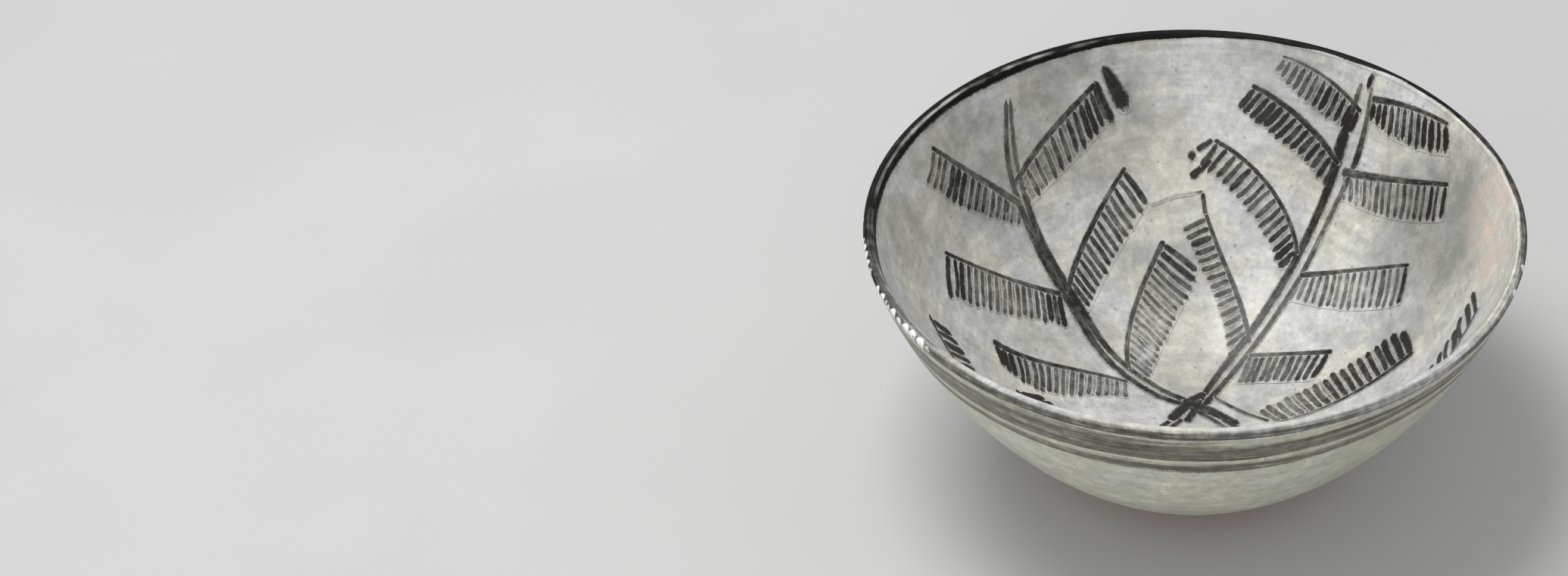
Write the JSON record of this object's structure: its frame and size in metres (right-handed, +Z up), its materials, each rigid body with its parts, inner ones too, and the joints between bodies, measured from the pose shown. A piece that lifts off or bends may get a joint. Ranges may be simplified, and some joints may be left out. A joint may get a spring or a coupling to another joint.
{
  "type": "painted pottery bowl",
  "caption": "Hand-thrown pottery bowl with a flared wall, rounded lip and small flat base, coated in pale slip and painted in dark slip with crossing stems and comb-shaped leaves inside",
  "frame": {"origin": "centre of the flat resting ring, on the surface the bowl stands on", "axes": "+Z up along the bowl's turning axis; +Y points to the back of the bowl as pictured, +X to its right"},
  "size_m": [0.2004, 0.2004, 0.0887],
  "materials": {
    "clay": "matte",
    "pale_slip": "satin",
    "dark_slip": "satin"
  },
  "bodies": {
    "root": {"clay_body": "clay", "inner_slip": "pale_slip", "outer_slip": "pale_slip", "rim_line": "dark_slip", "wide_outer_band": "dark_slip", "thin_outer_band": "dark_slip", "left_stem": "dark_slip", "right_stem": "dark_slip", "near_left_stem": "dark_slip", "left_leaf_upper": "dark_slip", "left_leaf_middle": "dark_slip", "left_leaf_lower": "dark_slip", "back_left_leaf_upper": "dark_slip", "back_left_leaf_middle": "dark_slip", "back_left_leaf_lower": "dark_slip", "back_right_leaf_top": "dark_slip", "back_right_leaf_upper": "dark_slip", "back_right_leaf_middle": "dark_slip", "back_right_leaf_lower": "dark_slip", "right_leaf_top": "dark_slip", "right_leaf_upper": "dark_slip", "right_leaf_middle": "dark_slip", "right_leaf_lower": "dark_slip", "near_right_leaf_lower": "dark_slip", "near_right_leaf_upper": "dark_slip", "near_left_leaf_middle": "dark_slip", "near_left_leaf_lower": "dark_slip", "near_left_leaf_upper": "dark_slip", "near_right_leaf_top": "dark_slip", "front_left_leaf_upper": "dark_slip", "front_left_leaf_middle": "dark_slip", "front_left_leaf_lower": "dark_slip", "front_right_leaf_top": "dark_slip", "front_right_leaf_upper": "dark_slip", "front_right_leaf_middle": "dark_slip", "front_right_leaf_lower": "dark_slip"}
  },
  "joints": []
}
